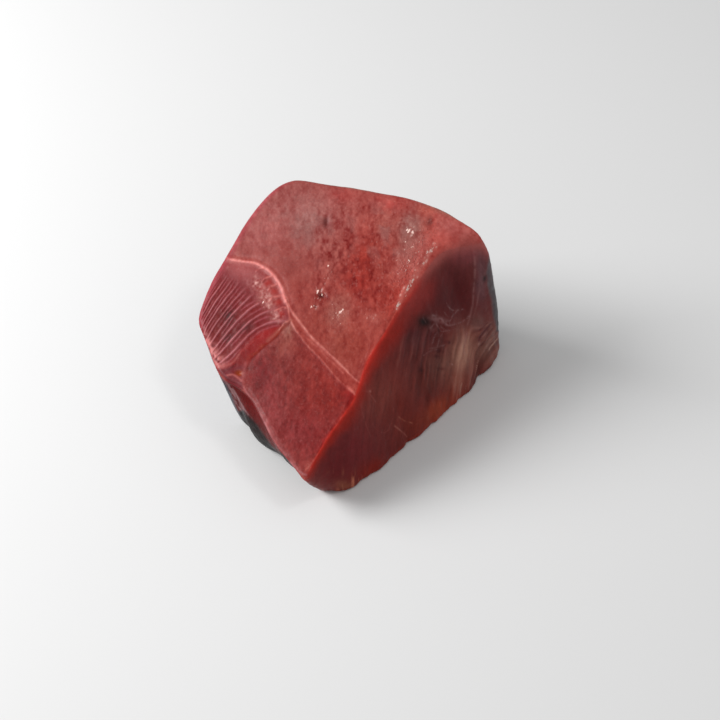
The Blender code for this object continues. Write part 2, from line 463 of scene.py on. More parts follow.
SEPTUM = curve([(222, 256.5), (231, 259.5), (240, 261), (250, 262), (257, 263.8), (263, 267),
                (270, 271.5), (275, 277), (279, 283), (282, 290), (284.5, 297), (286.5, 301)])
UPPER_BRANCH = curve([(286, 299), (289.5, 306), (293, 312.5), (299, 320.5), (306, 330),
                      (315, 340.5), (325, 350), (335, 359), (345, 369), (354, 378), (361, 384),
                      (368, 390)])
LOWER_BRANCH = curve([(286, 299), (288, 308), (289.5, 317), (292, 323), (296, 330), (302, 338),
                      (309, 347), (316, 354), (323, 361.5), (330, 370), (336, 377.5),
                      (345, 386), (356, 396)])
FAN_EDGE = curve([(291, 320.5), (284, 327), (276, 335), (266, 344.5), (254.5, 355),
                  (247, 362.5), (244.5, 370), (243, 380), (244.5, 388)])
PALE_RIM = curve([(244.5, 388), (247, 393), (254, 405), (262, 418), (268, 430), (275, 443),
                  (283, 452), (292, 464), (300, 472), (306, 475)])


def strand(points_xy, line, half_start, half_end, seed):
    """How strongly a pale strand shows at each point, with uneven width."""
    (x0, y0), (x1, y1) = line.min(axis=0) - 9, line.max(axis=0) + 9
    box = np.nonzero((points_xy[:, 0] > x0) & (points_xy[:, 0] < x1)
                     & (points_xy[:, 1] > y0) & (points_xy[:, 1] < y1))[0]
    shows, distance, place_along = (np.zeros(len(points_xy)), np.full(len(points_xy), 99.0),
                                    np.zeros(len(points_xy)))
    d, along = near(points_xy[box], line)
    half = half_start + (half_end - half_start) * along
    half = half * (1 + 0.25 * noise(points_xy[box], 7.0, seed))
    shows[box] = np.exp(-0.8 * (d / half) ** 2)
    distance[box], place_along[box] = d, along
    return shows, distance, place_along


sep, sep_d, sep_a = strand(Pq, SEPTUM, 0.95, 1.75, 201)
up, up_d, up_a = strand(Pq, UPPER_BRANCH, 1.2, 0.7, 202)
lo, lo_d, lo_a = strand(Pq, LOWER_BRANCH, 1.0, 0.6, 203)
pale_rim, rim_d, rim_a = strand(Pq, PALE_RIM, 0.8, 1.1, 204)

fan_ring = np.concatenate([[(198, 250), (222, 256)], SEPTUM, FAN_EDGE,
                           [(236, 390), (221, 374), (193, 345)]])
fan_in = inside(Pw, fan_ring)
low_ring = np.concatenate([FAN_EDGE, PALE_RIM, [(312, 482), (374, 400)], LOWER_BRANCH[::-1]])
low_in = inside(Pw, low_ring)
in_fan = step(fan_in, -1.0, 1.0)
in_low = step(low_in, -1.2, 1.2)
between = np.clip(step(inside(Pq, np.concatenate([UPPER_BRANCH, LOWER_BRANCH[::-1]])), -0.5, 1.0), 0, 1)

# The fan of muscle layers: eight main bands, each a curve through six stations.
# The rows give, for each station, where the first, the middle and the last run.
FAN = np.array([[(199.5, 322.0), (208.5, 341.5), (221.5, 361.7)],
                [(201.6, 317.0), (213.7, 332.4), (230.9, 354.4)],
                [(206.3, 307.9), (220.4, 324.0), (238.4, 344.7)],
                [(212.1, 298.1), (227.7, 313.7), (249.2, 335.2)],
                [(218.8, 287.7), (236.0, 304.5), (259.2, 327.4)],
                [(226.0, 277.5), (244.4, 295.5), (271.6, 321.9)]])


def fan_terms(k, v):
    return np.stack([a * b for a in (1 + 0 * k, k, k * k)
                     for b in (1 + 0 * v, v, v * v, v ** 3)], axis=-1)


_k, _v = np.meshgrid([0.0, 3.5, 7.0], np.arange(6.0))
_fit = np.linalg.lstsq(fan_terms(_k.ravel(), _v.ravel()), FAN.reshape(-1, 2), rcond=None)[0]
_gk, _gv = np.meshgrid(np.linspace(-2, 9, 56), np.linspace(-0.8, 6.4, 37))
_gp = fan_terms(_gk.ravel(), _gv.ravel()) @ _fit


def fan_place(p):
    """Which band (k) and how far along it (v) a point of the fan is."""
    k, v = np.zeros(len(p)), np.zeros(len(p))
    for part in np.array_split(np.arange(len(p)), max(1, len(p) // 4000)):
        d = ((p[part, None, :] - _gp[None]) ** 2).sum(axis=2)
        best = d.argmin(axis=1)
        k[part], v[part] = _gk.ravel()[best], _gv.ravel()[best]
    for _ in range(4):
        f = fan_terms(k, v) @ _fit - p
        e = 1e-3
        by_k = (fan_terms(k + e, v) @ _fit - p - f) / e
        by_v = (fan_terms(k, v + e) @ _fit - p - f) / e
        det = by_k[:, 0] * by_v[:, 1] - by_k[:, 1] * by_v[:, 0]
        det = np.where(np.abs(det) < 1e-6, 1e-6, det)
        dk = (f[:, 0] * by_v[:, 1] - f[:, 1] * by_v[:, 0]) / det
        dv = (by_k[:, 0] * f[:, 1] - by_k[:, 1] * f[:, 0]) / det
        k -= np.clip(dk, -0.4, 0.4)
        v -= np.clip(dv, -0.4, 0.4)
    return k, v


band_k = np.full(len(Pf), -5.0)
band_v = np.full(len(Pf), -5.0)
some = fan_in > -6
band_k[some], band_v[some] = fan_place(Pq[some])

# The bands fade into smooth flesh at the top and into grains at the upper right.
bands = in_fan * step(band_k, -1.3, -0.3) * (1 - step(band_k, 7.35, 7.7)) * step(band_v, -0.9, -0.3)
bands = bands * (1 - step(band_v, 4.2 + 0.14 * band_k, 5.5 + 0.14 * band_k))
offset = np.abs(band_k - np.round(band_k) + 0.05 * noise(Xf, 6, 205))
main_line = np.exp(-(offset / (0.115 + 0.03 * noise(Xf, 12, 5))) ** 2)
half_way = np.abs(band_k - np.floor(band_k) - 0.5 - 0.14 * noise(Xf, 9, 206))
minor = np.exp(-(half_way / 0.085) ** 2) * step(
    noise(np.column_stack([np.floor(band_k) * 9.0, band_v * 1.3]), 1.5, 8), -0.6, 0.2)
root = in_fan * np.exp(-((band_v + 0.25) / 0.55) ** 2) * step(band_k, 1.0, 3.2) * (1 - step(band_k, 7.4, 8.2))
root = np.clip(np.maximum(root, blob(Pf, 218, 359, 5.5, 6.5, -30)), 0, 1)
grains = np.maximum(blob(Pw, 257, 283, 7, 5, 45), blob(Pw, 267, 300, 6, 11, -25))
grains = in_fan * np.maximum(grains, blob(Pw, 277, 315, 6, 6))
TEETH = [[(256, 271), (260, 268.5), (264, 267.5)], [(263, 281), (267, 277.5), (272.5, 275.3)],
         [(268, 290), (272, 286.5), (276.5, 284.5)], [(270, 299.5), (274, 296.5), (284, 295.5)],
         [(275, 311.5), (279, 309.5), (286, 308)], [(279, 330), (284, 324), (290, 320)]]
teeth = np.zeros(len(Pf))
for t in TEETH:
    teeth = np.maximum(teeth, strand(Pf + 0.9 * wander, curve(t, 6), 0.6, 1.2, 207)[0])

# small cuts and pits in the face
pits = np.zeros(len(Pf))
for x, y, rx, ry, turn, deep in ((322, 295.5, 3.4, 2.4, 20, 1.0), (321, 290, 1.6, 1.0, -60, 0.3),
                                 (316, 307, 1.6, 1.2, 0, 0.4), (326.5, 222, 2.4, 5.0, 5, 0.5),
                                 (239, 373, 2.6, 1.8, 0, 0.4), (432, 222, 3, 5, 10, 0.35)):
    pits += deep * blob(Pf, x, y, rx, ry, turn)

# painted highlights: small pale dots where glints of light sit on the face
dice = np.random.RandomState(12)
PAINTED_GLINT_DOTS = [(411.5, 235.5, 1.6), (414, 227, 1.0), (407, 227.5, 0.9), (410, 232, 0.9), (416, 231, 0.8),
         (433, 244, 1.3), (436, 247.5, 1.1), (429.5, 252, 1.5), (427.5, 256, 1.1), (426.3, 261, 1.9),
         (424.5, 258, 1.0), (418, 264, 1.0), (415, 270, 1.1), (417, 277, 1.2), (414, 275.5, 1.0),
         (410, 283, 1.0), (404, 288, 1.6), (402, 291, 1.0), (408, 290, 1.2), (405.5, 292.5, 0.9),
         (400.5, 295, 1.5), (398, 303, 1.2), (396.5, 308, 1.0), (375.5, 315, 1.0), (373.5, 318, 1.0),
         (367, 318, 0.9), (321.5, 290, 1.6), (325, 283.5, 0.9), (328, 278.5, 0.8), (332, 272, 0.7),
         (318.5, 298.2, 1.0), (315.3, 297.8, 0.8), (320.5, 299.5, 0.8), (316, 308, 1.4),
         (386, 333, 0.9), (381, 340, 0.8), (371, 354, 0.8), (399, 254, 0.8), (377, 242, 0.7)]
painted_glint_dots = np.zeros(len(Pf))
for x, y, r in PAINTED_GLINT_DOTS:
    box = np.nonzero((np.abs(Pf[:, 0] - x) < 5) & (np.abs(Pf[:, 1] - y) < 7))[0]
    b = min(1.0, 0.2 + 0.5 * r) * blob(Pf[box] + 0.5 * wander[box], x, y, 0.5 * r, 1.0 * r, 28)
    painted_glint_dots[box] = np.maximum(painted_glint_dots[box], b)

# painted highlights: where fine pale glints of moisture are painted into the colour
GLINT_LINE = curve([(397, 309), (402, 296), (409, 285), (416, 275), (423, 264), (429, 253), (435, 244)])
glint_d, glint_a = near(Pf, GLINT_LINE)
glint = np.exp(-(glint_d / (2.4 + 2.0 * np.clip(noise(Pf, 9.0, 215), 0, 1))) ** 2) * (0.85 + 0.25 * noise(Pf, 7.0, 216))
for x, y, rx, ry, turn, amount in ((411, 232, 5, 10, 8, 0.9), (409, 255, 8, 22, 20, 0.55), (320, 292, 5, 3, 30, 0.85),
                                   (316, 307, 4, 3, 0, 0.7), (339, 314, 9, 13, 15, 0.72), (330, 272, 4, 10, 10, 0.62),
                                   (372, 318, 9, 5, 20, 0.6), (309, 467, 5, 5, 0, 0.6), (266, 300, 5, 9, -25, 0.6)):
    glint = np.maximum(glint, amount * blob(Pf, x, y, rx, ry, turn))

# --------------------------------------------------------- relief of the cut face
relief = 0.45 * cloud(Xf, 38, 2, 60) + 0.12 * cloud(Xf, 9, 2, 61) + 0.05 * cloud(Xf, 2.6, 2, 62)
relief += 0.32 * np.exp(-(sep_d / 2.0) ** 2) - 0.20 * np.exp(-((sep_d - 4.5) / 2.2) ** 2)
relief += 0.22 * np.exp(-(up_d / 1.4) ** 2) * (1 - 0.4 * up_a) + 0.14 * np.exp(-(lo_d / 1.1) ** 2)
relief += bands * (0.42 * main_line - 0.20 + 0.18 * minor + 0.08 * noise(Xf, 3.0, 63))
relief += grains * (0.30 * noise(Xf, 2.6, 64) + 0.18 * noise(Xf, 1.5, 65)) + 0.28 * teeth
relief += root * 0.25 * noise(Xf, 2.4, 66) + 0.15 * np.exp(-(rim_d / 1.3) ** 2)
relief -= 2.0 * pits
relief -= 0.35 * in_low * (1 - step(low_in, 0.5, 6.0)) * step(Pf[:, 0], 246, 252) * (1 - step(Pf[:, 0], 286, 298))

# ---------------------------------------------- the ridge between face and cut side
RIDGE = curve([(297, 485), (302.5, 478), (308, 471.5), (316, 457), (323, 444.5), (330, 432.5),
               (338, 423), (343.5, 414), (351, 403.5), (356.5, 391), (366, 363), (375, 347),
               (385, 332), (393, 319), (401, 306), (413, 290), (422, 276), (431, 263),
               (440, 253.5), (451, 247), (465, 243), (480, 243), (492, 248), (510, 256)])
face_ring = np.concatenate([RIDGE, [(540, 256), (540, 120), (120, 120), (120, 540), (280, 540)]])
nearby = np.nonzero((P[:, 0] > 285) & (P[:, 1] > 215))[0]
ridge_in = np.full(len(V), 50.0)
ridge_in[nearby] = inside(P[nearby], face_ring)
ridge_w = 1.2 + 1.3 * step(P[:, 0], 385, 410) + 6.0 * step(P[:, 0], 425, 455)
beyond = step(-ridge_in, -ridge_w, ridge_w)          # 1 on the cut side's part

# ------------------------------------------------------------- features of the walls
extra = np.nonzero((np.arange(len(V)) >= ring_count) & (ridge_in < 16)
                   & (np.arange(len(V)) < ring_count + (CELLS - 1) ** 2))[0]
AROUND[extra] = 1.5
walls = np.concatenate([on_side, extra])
Ps, Xs = P[walls], V[walls]
ws, cs, gs = W[walls], AROUND[walls], GIRTH[walls]
warp_s = np.stack([cloud(Xs, 12, 3, 71), cloud(Xs, 12, 3, 72)], axis=1)
Pv = Ps + 2.0 * warp_s
cut_side = np.clip((1 - step(cs, 3.08, 3.28)) + step(cs, 8.86, 8.98), 0, 1)    # 1 on bare flesh

# fibres run down the cut side and lean over more and more towards the right
lean = 0.16 + 0.62 * step(Ps[:, 0], 466, 487) - 0.10 * step(-Ps[:, 0], -385, -350)
across = Ps[:, 0] + lean * (Ps[:, 1] - 352) + 1.2 * warp_s[:, 0]
fibre_p = np.column_stack([across, Ps[:, 1] * 0.07])
fibre = (0.45 * noise(fibre_p, 5.0, 80) + 0.40 * noise(fibre_p, 2.4, 81) + 0.30 * noise(fibre_p, 1.3, 82))

STREAKED = [(398, 350), (404, 338), (412, 327), (421, 324), (431, 328), (441, 336), (450, 334),
            (460, 333), (466, 326), (474, 317), (487, 321), (502, 330), (500, 352), (490, 372),
            (474, 384), (462, 397), (446, 408), (430, 408), (416, 396), (404, 378), (396, 362)]
streaked = step(inside(Pv, STREAKED), -4.0, 5.0) * cut_side
CURLS = [([(446.5, 303), (448.5, 307), (454, 310.5), (459, 309.8), (464.5, 309)], 0.75, 0.75),
         ([(449, 323), (452, 317), (456, 312.5), (458, 310.5)], 0.7, 0.55),
         ([(429.5, 317.5), (433, 315), (437, 318.5), (441, 319), (445, 323.5), (449, 325),
           (455, 324), (461, 322.5), (466, 319), (470, 315)], 0.85, 0.65),
         ([(431, 328), (435, 323.5), (438, 327), (441, 331), (446, 330.5)], 0.75, 0.6),
         ([(432.5, 344), (434, 338), (437, 332)], 0.7, 0.5),
         ([(437, 346), (438.5, 339), (442, 334)], 0.7, 0.5),
         ([(428, 348.5), (436, 347), (444, 344)], 0.7, 0.45),
         ([(424, 355), (431, 350.5), (437, 349)], 0.7, 0.4),
         ([(444, 312.5), (447, 316), (452, 317)], 0.6, 0.45),
         ([(435.5, 311), (436.5, 316)], 0.6, 0.4), ([(424, 317), (426.5, 322)], 0.6, 0.35),
         ([(440, 326), (444, 329), (450, 330), (456, 328)], 0.6, 0.4)]
curls_and_glints = np.zeros(len(Ps))
for line, half, strength in CURLS:
    curls_and_glints = np.maximum(curls_and_glints, strength * strand(Ps + 0.9 * warp_s, curve(line, 8), half * 0.8, half * 0.55, 208)[0])

relief_s = 0.5 * cloud(Xs, 30, 2, 100) + 0.12 * cloud(Xs, 7, 2, 101)
relief_s += cut_side * ((0.14 + 0.30 * streaked) * fibre + 0.06 * cloud(Xs, 2.4, 2, 102))
membrane = cut_side * blob(Ps, 486, 340, 14, 26)
relief_s += 0.7 * membrane * noise(fibre_p, 3.4, 83)
relief_s -= 0.9 * blob(Ps, 425, 320, 8, 5, 10) * cut_side
relief_s += 0.30 * curls_and_glints * cut_side
relief_s += 0.4 * blob(Ps, 446, 326, 16, 12) * cut_side * noise(Xs, 2.6, 84)
SLITS = [([(480, 341), (484, 333), (491, 325)], 1.6, 0.75), ([(482, 346), (487, 338), (493, 329)], 0.9, 0.55),
         ([(480, 331), (484, 327), (489, 323)], 1.0, 0.45), ([(478, 352), (480, 344)], 0.8, 0.35)]
for line, half, strength in SLITS:
    relief_s -= 0.9 * strength * cut_side * strand(Ps, curve(line, 6), half, half * 0.7, 209)[0]
# the skin ends in a thin lip under the cut edge
relief_s += 0.35 * (1 - cut_side) * np.exp(-((ws - 0.035) / 0.02) ** 2)

disp = np.zeros(len(V))
disp[on_face] += relief * (1 - SIDE[on_face])
disp[walls] += relief_s * SIDE[walls]
low_fade = np.clip(V[:, 2] / 3.0, 0, 1)
V1 = V + N0 * (disp * low_fade)[:, None]
V1[:, 2] = np.maximum(V1[:, 2], 0.0)
N1 = normals(V1)


# --------------------------------------------------------------------- colours
def shade(rgb, light, gloss):
    """The base colour that shows as this screen colour under that much light."""
    c = np.array(rgb, float) / 255
    linear = np.where(c < 0.04045, c / 12.92, ((c + 0.055) / 1.055) ** 2.4)
    return np.clip((linear - gloss) / light, 0.003, 0.95)


def lay(colour, over, mask):
    return colour + (over - colour) * np.clip(mask, 0, 1)[:, None]


FACE_LIGHT, FACE_GLOSS = 1.02, 0.022
SIDE_LIGHT, SIDE_GLOSS = 0.62, 0.010
SKIN_LIGHT, SKIN_GLOSS = 0.60, 0.020


KEY = np.array([-0.85, 0.10, 0.52])
KEY /= np.linalg.norm(KEY)


def light_on(n):
    """The light that falls on a surface that faces n, with 1 for the cut face."""
    up = 0.5 + 0.5 * n[:, 2]
    return (0.42 * up + 0.62 * (1 - up) + 0.94 * step(n @ KEY + 0.12, 0.0, 0.9)) / 1.02


def f_(*rgb):
    return shade(rgb, FACE_LIGHT, FACE_GLOSS)


def g_(*rgb):
    return shade(rgb, SIDE_LIGHT, SIDE_GLOSS)


def k_(*rgb):
    return shade(rgb, SKIN_LIGHT, SKIN_GLOSS)


def l_(*rgb):
    return shade(rgb, 1.15, 0.030)


def spots(colour, place_, table, paint):
    for x, y, rx, ry, turn, rgb, strength in table:
        colour = lay(colour, paint(*rgb), strength * blob(place_, x, y, rx, ry, turn))
    return colour


# painted sheen: the grey pink spots at (300, 212) and (306, 226), the whitish one at (412, 226) and the pale one at
# (339, 312)
UPPER_SPOTS = [
    (300, 212, 60, 34, 10, (157, 94, 90), 0.95), (262, 232, 28, 38, 30, (168, 92, 89), 0.85),
    (278, 272, 34, 24, 20, (160, 82, 77), 0.85), (306, 226, 14, 16, 20, (146, 97, 93), 0.6),
    (335, 250, 16, 20, 0, (149, 82, 77), 0.5), (366, 262, 26, 44, 10, (143, 54, 49), 0.95),
    (357, 283, 14, 12, 0, (136, 46, 42), 0.5), (386, 226, 14, 20, 0, (139, 80, 74), 0.5),
    (380, 268, 12, 18, 0, (141, 76, 70), 0.35), (392, 296, 20, 26, 30, (147, 60, 54), 0.7),
    (412, 226, 10, 17, 10, (158, 118, 112), 0.85), (408, 256, 12, 22, 20, (150, 86, 81), 0.7),
    (432, 221, 12, 12, 0, (152, 70, 63), 0.75), (425, 211, 8, 5, 0, (174, 84, 74), 0.7),
    (455, 228, 28, 12, 18, (158, 86, 82), 0.9), (340, 194, 12, 8, 0, (160, 62, 60), 0.6),
    (390, 203, 14, 6, 10, (170, 70, 66), 0.6), (326, 222, 3, 6, 0, (122, 48, 50), 0.8),
    (339, 312, 9, 13, 20, (176, 116, 104), 0.75), (338, 345, 8, 12, 20, (156, 90, 80), 0.5),
    (330, 270, 4, 14, 10, (152, 78, 72), 0.4), (318, 330, 26, 26, 0, (152, 68, 60), 0.6),
    (352, 347, 22, 26, 40, (145, 65, 57), 0.7), (300, 290, 20, 24, 0, (156, 70, 64), 0.6),
    (375, 318, 12, 10, 0, (154, 76, 68), 0.4)]
LOWER_SPOTS = [
    (285, 345, 14, 12, 0, (145, 76, 69), 0.6), (302, 370, 20, 18, 0, (137, 61, 57), 0.6),
    (332, 380, 24, 18, 40, (134, 52, 48), 0.6), (262, 375, 15, 24, -10, (116, 44, 46), 0.85),
    (322, 402, 24, 20, 0, (128, 49, 45), 0.6), (300, 432, 26, 20, 0, (131, 54, 56), 0.6),
    (273, 408, 15, 20, 0, (135, 56, 58), 0.5), (320, 440, 12, 12, 30, (126, 46, 46), 0.5),
    (308, 466, 7, 5, 0, (152, 58, 54), 0.8), (350, 396, 8, 8, 0, (140, 44, 40), 0.6)]

tone = spots(np.tile(f_(151, 72, 67), (len(Pf), 1)), Pw, UPPER_SPOTS, f_)
low_tone = spots(np.tile(f_(131, 55, 53), (len(Pf), 1)), Pw, LOWER_SPOTS, f_)
tone = lay(tone, low_tone, in_low)
tone = lay(tone, f_(153, 66, 60), 0.8 * between)

fan_tone = np.tile(f_(130, 55, 59), (len(Pf), 1))
fan_tone = lay(fan_tone, f_(168, 88, 88), blob(Pw, 240, 268, 22, 11, 20))
fan_tone = lay(fan_tone, f_(150, 64, 69), blob(Pw, 209, 290, 8, 28, 22))
fan_tone = lay(fan_tone, f_(168, 84, 80), 0.8 * blob(Pw, 268, 292, 13, 20, -25))
fan_tone = lay(fan_tone, f_(166, 52, 48), 0.8 * np.maximum(np.maximum(blob(Pw, 278, 302, 5, 4), blob(Pw, 281, 314, 5, 5)),
                                                         np.maximum(blob(Pw, 273, 291, 4, 3), blob(Pw, 269, 283, 4, 3))))
red_band = step(band_k, 7.15, 7.6) * step(Pw[:, 1], 318, 328)
fan_tone = lay(fan_tone, f_(144, 36, 38), red_band)
fan_tone = lay(fan_tone, f_(160, 44, 44), red_band * blob(Pw, 262, 333, 14, 8, -35))
fan_tone = lay(fan_tone, f_(134, 38, 38), red_band * blob(Pw, 240, 360, 9, 9))
orange_edge = (1 - step(fan_in, 1.0, 6.0)) * step(Pf[:, 1], 322, 332) * (1 - step(Pf[:, 1], 356, 364))
fan_tone = lay(fan_tone, f_(158, 66, 50), 0.7 * orange_edge * step(noise(Xf, 4.0, 213), -0.7, 0.4))
fan_tone = lay(fan_tone, f_(122, 49, 54), step(band_k, 7.4, 8.4) * step(Pf[:, 1], 362, 369))
fan_tone = lay(fan_tone, f_(186, 88, 54), 0.95 * blob(Pf, 239, 373, 3.8, 2.6))
gap = bands * (1 - main_line) * (1 - 0.6 * minor)
gap_deep = 0.62 + 0.25 * noise(Xf, 5.0, 212) + 0.12 * step(band_k, 1.5, 4.0)
fan_tone = lay(fan_tone, f_(126, 28, 36), gap * (gap_deep + 0.15))
dark_gap = np.maximum(np.maximum(blob(Pw, 229, 316, 6, 7), blob(Pw, 246, 328, 9, 5, -30)), blob(Pw, 229, 337, 7, 5, -30))
fan_tone = lay(fan_tone, f_(78, 30, 34), 0.75 * gap * dark_gap)
fade_up = 1 - 0.35 * step(band_v, 2.0, 5.0)
fan_tone = lay(fan_tone, f_(200, 122, 127), bands * main_line * fade_up * (0.85 + 0.30 * noise(Xf, 6, 9)))
fan_tone = lay(fan_tone, f_(172, 88, 96), bands * minor * 0.6)
grain_noise = noise(Xf, 1.6, 65)
fan_tone = lay(fan_tone, f_(188, 120, 116), 0.75 * grains * step(grain_noise + 0.4, -0.3, 0.5))
fan_tone = lay(fan_tone, f_(216, 156, 148), 0.7 * grains * step(grain_noise, 0.35, 0.7))
fan_tone = lay(fan_tone, f_(222, 136, 133), 0.8 * root * step(noise(Xf, 2.4, 66), -0.7, 0.3))
fan_tone = lay(fan_tone, f_(208, 118, 112), 0.8 * teeth * step(noise(Xf, 1.8, 214), -0.7, 0.3))
tone = lay(tone, fan_tone, in_fan)
# pale grain, and painted sheen: a pale patch below the fan
tone = lay(tone, f_(150, 97, 86), 0.7 * blob(Pw, 287, 331, 6, 8, 20) * (1 - in_fan))

# pale strands, and from the row at (335, 428) on, painted highlights along the ridge crest; each row: points, half
# width, colour, strength
tone = lay(tone, f_(196, 98, 92), 0.35 * np.exp(-(sep_d / 4.5) ** 2))
ropy = 0.78 + 0.22 * noise(Xf, 2.2, 211)
tone = lay(tone, f_(248, 154, 148), 0.97 * sep * ropy)
tone = lay(tone, f_(216, 130, 121), (0.90 - 0.35 * up_a) * up * ropy)
tone = lay(tone, f_(202, 116, 107), (0.85 - 0.45 * lo_a) * lo * ropy)
tone = lay(tone, f_(158, 92, 94), 0.75 * pale_rim)
for line, half, rgb, strength in (
        ([(291, 320), (286, 323), (281, 328), (274, 334.5), (267, 341)], 1.6, (172, 104, 92), 0.45),
        ([(307, 338), (316, 346), (326, 357), (335, 365), (343, 373)], 0.8, (186, 96, 88), 0.45),
        ([(312, 343), (322, 350), (331, 358)], 0.7, (186, 96, 88), 0.4),
        ([(240, 352), (248, 345.5), (256, 339.5), (262, 336)], 0.8, (190, 84, 82), 0.35),
        ([(227, 375), (233, 374.5), (238, 377.5), (241.5, 380.5)], 0.9, (198, 108, 104), 0.65),
        ([(245.5, 363), (243.2, 371), (242.8, 380), (244.5, 389)], 1.3, (176, 90, 88), 0.45),
        ([(222, 366), (232, 363), (240, 353)], 0.9, (190, 104, 100), 0.45),
        ([(224, 371), (231, 367.5), (236, 364)], 0.8, (84, 32, 36), 0.5),
        ([(226, 377), (231, 381), (236, 383)], 0.9, (84, 32, 36), 0.45),
        # painted highlights along the ridge crest
        ([(335, 428), (339, 423), (343, 417)], 0.8, (182, 84, 76), 0.5),
        ([(353, 392), (350, 389), (347, 387)], 1.0, (206, 108, 100), 0.5),
        ([(365, 365), (369, 357), (373, 350)], 0.8, (188, 86, 76), 0.45),
        ([(386, 330), (390, 323), (398, 308)], 0.8, (188, 84, 74), 0.45),
        ([(305, 470), (309, 466), (314, 460), (318, 455)], 1.0, (196, 96, 88), 0.5),
        ([(316, 459), (323, 447), (330, 435), (337, 425), (342, 417)], 1.0, (172, 78, 72), 0.45)):
    tone = lay(tone, f_(*rgb), strength * strand(Pq, curve(line, 6), half, half, 210)[0])

# thin crimson and grey layers along the left and back edges
edge_dist = near(V[on_face][:, :2], np.concatenate([rim[::6], rim[:1]]))[0]
left_rim = (1 - step(edge_dist, 1.0, 6.5)) * (1 - step(Pf[:, 0], 275, 300)) * (1 - step(Pf[:, 1], 320, 335))
tone = lay(tone, f_(166, 66, 76), 0.65 * left_rim)
top_rim = (1 - step(edge_dist, 0.6, 2.6)) * (1 - step(Pf[:, 1], 218, 232)) * step(Pf[:, 0], 300, 340)
tone = lay(tone, f_(130, 92, 82), 0.6 * top_rim)
corner_rim = (1 - step(edge_dist, 0.5, 6.0)) * blob(Pf, 440, 214, 20, 10, 20)
tone = lay(tone, f_(128, 92, 82), 0.7 * corner_rim)

# mottling of the muscle, cut across its fibres
fine_p = np.column_stack([Pf[:, 0], Pf[:, 1] * 0.75])
mottle = cloud(fine_p + 1.2 * wander, 3.0, 2, 110, 0.8)
patchy = cloud(Pf, 13.0, 2, 111)
streaks = noise(np.column_stack([Pf[:, 0] + 0.12 * Pf[:, 1], Pf[:, 1] * 0.30]), 4.0, 113)
red_zone = blob(Pw, 372, 262, 36, 52, 10)
strength = 0.20 + 0.22 * red_zone + 0.10 * in_low + 0.22 * blob(Pw, 332, 262, 20, 40)
strength = strength * (1 - 0.75 * blob(Pw, 276, 268, 32, 26)) * (1 - 0.8 * in_fan) + 0.04
shift = strength * (mottle + 0.6 * streaks) + (0.14 * (1 - in_fan) + 0.05) * patchy
tone = tone * (1 + shift[:, None] * np.array([0.55, 1.30, 1.30]))
# painted sheen: grey pink patches over the upper face
painted_sheen = step(cloud(Pf, 11.0, 3, 114) + 0.1, 0.0, 0.9) * (1 - in_fan) * (1 - in_low)
painted_sheen = painted_sheen * np.clip(blob(Pw, 310, 225, 50, 34) + blob(Pw, 388, 235, 22, 30), 0, 1)
tone = lay(tone, f_(148, 101, 97), 0.45 * painted_sheen)
clots = step(cloud(Pf, 5.0, 3, 115), 0.35, 0.9) * np.clip(red_zone + 0.5 * blob(Pw, 330, 215, 30, 30) + 0.3 * in_low, 0, 1)
tone = lay(tone, f_(124, 38, 37), 0.34 * clots * (1 - in_fan))
# pale specks of fat, with painted sheen where they gather at (412, 235) and (340, 312)
speck_and_sheen_area = (0.12 + 0.5 * blob(Pw, 412, 235, 16, 30, 15) + 0.7 * blob(Pw, 340, 312, 12, 14)
              + 0.25 * red_zone) * (1 - in_fan)
specks_and_sheen = step(cloud(Pf, 2.6, 2, 112, 0.8), 0.50, 0.95) * np.clip(speck_and_sheen_area, 0, 1)
tone = lay(tone, f_(196, 134, 126), 0.5 * specks_and_sheen)
# painted highlights: a pale pink tone along the glints
tone = lay(tone, f_(184, 112, 104), 0.42 * glint)
for x, y, rx, ry, turn, drop in ((408, 240, 15, 20, 20, 0.20), (330, 312, 12, 16, 0, 0.16), (452, 230, 22, 9, 25, 0.12),
                                 (425, 212, 10, 8, 0, 0.10), (300, 270, 16, 18, 0, 0.12), (275, 365, 16, 20, 0, 0.12),
                                 (470, 245, 10, 8, 10, 0.20), (310, 466, 9, 9, 0, 0.22), (226, 322, 14, 18, 0, 0.20)):
    tone = tone * (1 - drop * blob(Pf, x, y, rx, ry, turn))[:, None]
tone = lay(tone, f_(138, 34, 32), 0.5 * blob(Pw, 254, 341, 17, 10, -35))
# painted highlights: the pale glint dots
tone = lay(tone, f_(226, 188, 178), 0.5 * painted_glint_dots)
# painted shade: the pits are painted dark
tone = lay(tone, f_(96, 30, 30), 0.85 * pits)
# painted light and shade: the key light is stronger on the left of the face, so the colour is made darker on the left,
# lighter on the right and lighter where the face turns away at the rim
fall = np.clip(0.0021 * (360 - Pf[:, 0]), -0.16, 0.25) * (1 - in_low) + in_low * np.clip(0.0016 * (305 - Pf[:, 0]), -0.05, 0.12)
at_rim = np.clip(light_on(N0[on_face]) / light_on(np.array([[-0.24, -0.345, 0.907]])), 0.55, 1.1)
at_rim = 1 + (at_rim - 1) * step(-edge_dist, -16.0, -8.0) * step(Pf[:, 0], 290, 310)
tone = np.clip(tone / (1 + fall)[:, None] / at_rim[:, None], 0.002, 0.95)

wet = np.clip(blob(Pw, 412, 262, 12, 48, 25) + 0.9 * blob(Pf, 320, 295, 6, 9)
              + 0.25 * blob(Pw, 340, 312, 14, 14) + 0.4 * blob(Pw, 310, 466, 7, 5), 0, 1) * (1 - in_fan)
wet = np.maximum(wet, 0.8 * glint)

